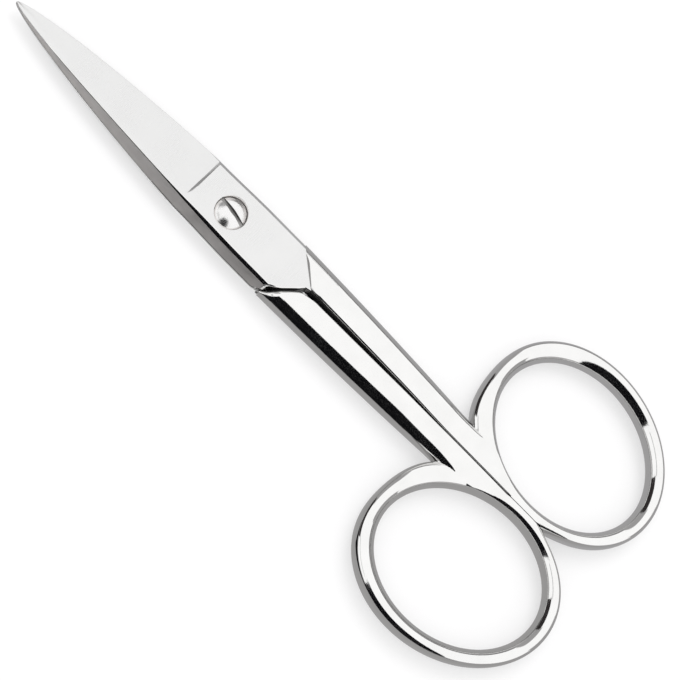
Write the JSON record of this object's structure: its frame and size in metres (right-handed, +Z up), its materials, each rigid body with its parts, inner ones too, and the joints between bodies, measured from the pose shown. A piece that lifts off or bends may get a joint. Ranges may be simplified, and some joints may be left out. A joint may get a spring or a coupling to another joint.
{
  "type": "nail scissors",
  "caption": "Straight nail scissors: crossed forged halves with pointed blades, side-by-side shanks and oval finger bows, turning on a countersunk slotted pivot screw.",
  "frame": {"origin": "middle of the closed scissors' outline, on the table plane they lie on", "axes": "+Y along the blades towards the tips, +Z up out of the table along the pivot screw, +X towards the upper half's bow"},
  "size_m": [0.04, 0.0902, 0.0035],
  "materials": {
    "polished_nickel": "mirror polished nickel plate, finely ground on blade and plate",
    "screw_steel": "turned and polished"
  },
  "bodies": {
    "lower_half": {"lower_half": "polished_nickel", "pivot_screw": "screw_steel"},
    "upper_half": {"upper_half": "polished_nickel"}
  },
  "joints": [
    {"name": "pivot", "type": "hinge", "parent": "lower_half", "child": "upper_half", "pos_m": [0, 0.01223, 0.00175], "axis": [0, 0, 1], "range_deg": [0, 120]}
  ]
}
